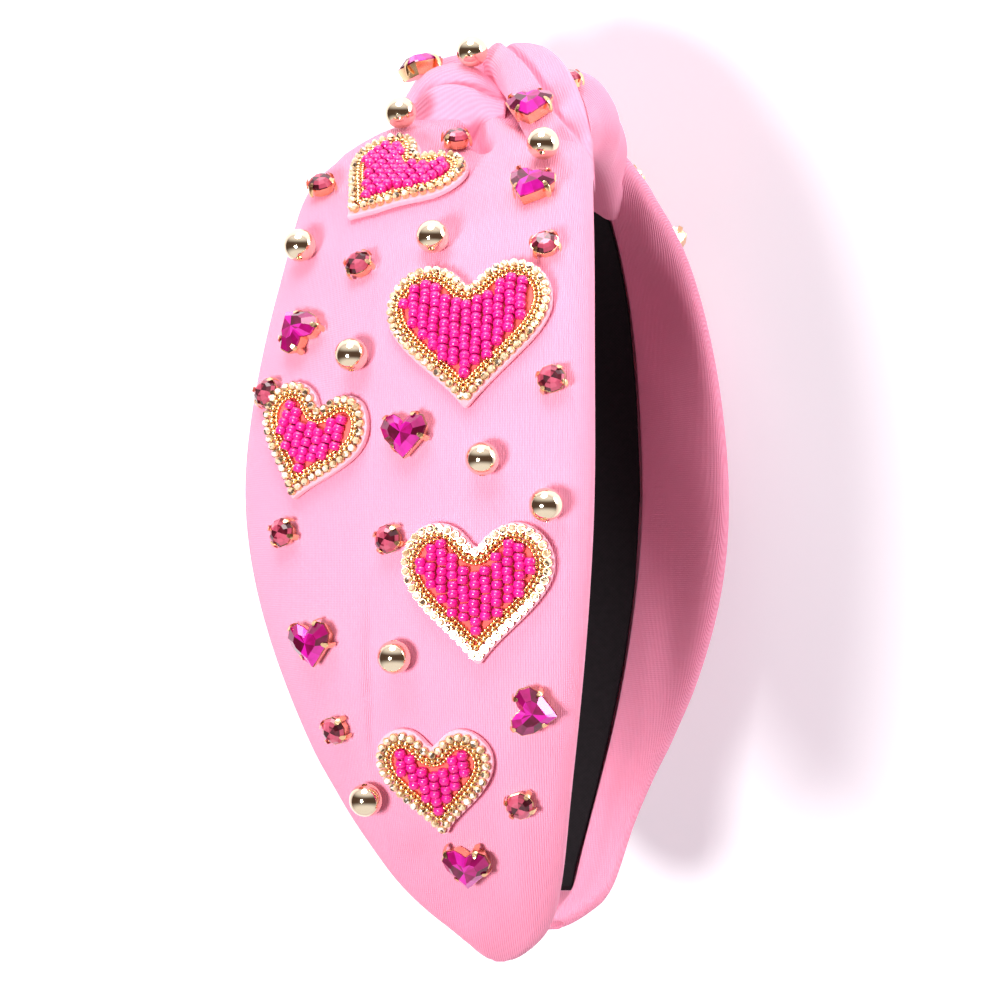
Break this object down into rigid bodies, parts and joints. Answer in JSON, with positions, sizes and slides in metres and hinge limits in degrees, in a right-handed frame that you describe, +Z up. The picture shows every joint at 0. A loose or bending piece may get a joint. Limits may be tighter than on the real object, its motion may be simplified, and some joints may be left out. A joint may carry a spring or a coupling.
{
  "type": "knotted headband",
  "caption": "Wide knotted headband of ribbed knit over a stiff lined arch, sewn with beaded hearts, cut stones and small gold balls.",
  "frame": {"origin": "centre of the footprint, on the floor", "axes": "+Z up as it lies on its flank; +Y from the tips towards the knot; +X across the arms; X = 0 is the middle of the box"},
  "size_m": [0.0698, 0.1784, 0.1549],
  "materials": {
    "knit": "fine ribbed knit, matt",
    "lining": "black woven lining, matt",
    "felt": "pale pink felt",
    "beadwork": "fuchsia glass seed beads with a clear stone edge",
    "heart_stone": "faceted magenta stone in a gold claw setting",
    "round_stone": "faceted rose stone in a gold setting",
    "gold_ball": "polished pale gold"
  },
  "bodies": {
    "root": {"ball_10_near": "gold_ball", "ball_1_far": "gold_ball", "ball_1_near": "gold_ball", "ball_2_far": "gold_ball", "ball_2_near": "gold_ball", "ball_3_far": "gold_ball", "ball_3_near": "gold_ball", "ball_4_far": "gold_ball", "ball_4_near": "gold_ball", "ball_5_near": "gold_ball", "ball_6_near": "gold_ball", "ball_7_near": "gold_ball", "ball_8_near": "gold_ball", "ball_9_near": "gold_ball", "beads_crown_near": "beadwork", "beads_large_near": "beadwork", "beads_middle_near": "beadwork", "beads_side_near": "beadwork", "beads_tip_near": "beadwork", "cover_far": "knit", "cover_near": "knit", "felt_crown_near": "felt", "felt_large_near": "felt", "felt_middle_near": "felt", "felt_side_near": "felt", "felt_tip_near": "felt", "heart_1_far": "heart_stone", "heart_1_near": "heart_stone", "heart_2_far": "heart_stone", "heart_2_near": "heart_stone", "heart_3_far": "heart_stone", "heart_3_near": "heart_stone", "heart_4_near": "heart_stone", "heart_5_near": "heart_stone", "heart_6_near": "heart_stone", "heart_7_near": "heart_stone", "heart_8_near": "heart_stone", "inner_band": "lining", "knot_loop_far": "knit", "knot_loop_near": "knit", "knot_strap": "knit", "patch_crown_far": "beadwork", "patch_large_far": "beadwork", "patch_middle_far": "beadwork", "patch_side_far": "beadwork", "patch_tip_far": "beadwork", "round_10_near": "round_stone", "round_11_near": "round_stone", "round_1_far": "round_stone", "round_1_near": "round_stone", "round_2_far": "round_stone", "round_2_near": "round_stone", "round_3_far": "round_stone", "round_3_near": "round_stone", "round_4_near": "round_stone", "round_5_near": "round_stone", "round_6_near": "round_stone", "round_7_near": "round_stone", "round_8_near": "round_stone", "round_9_near": "round_stone"}
  },
  "joints": []
}
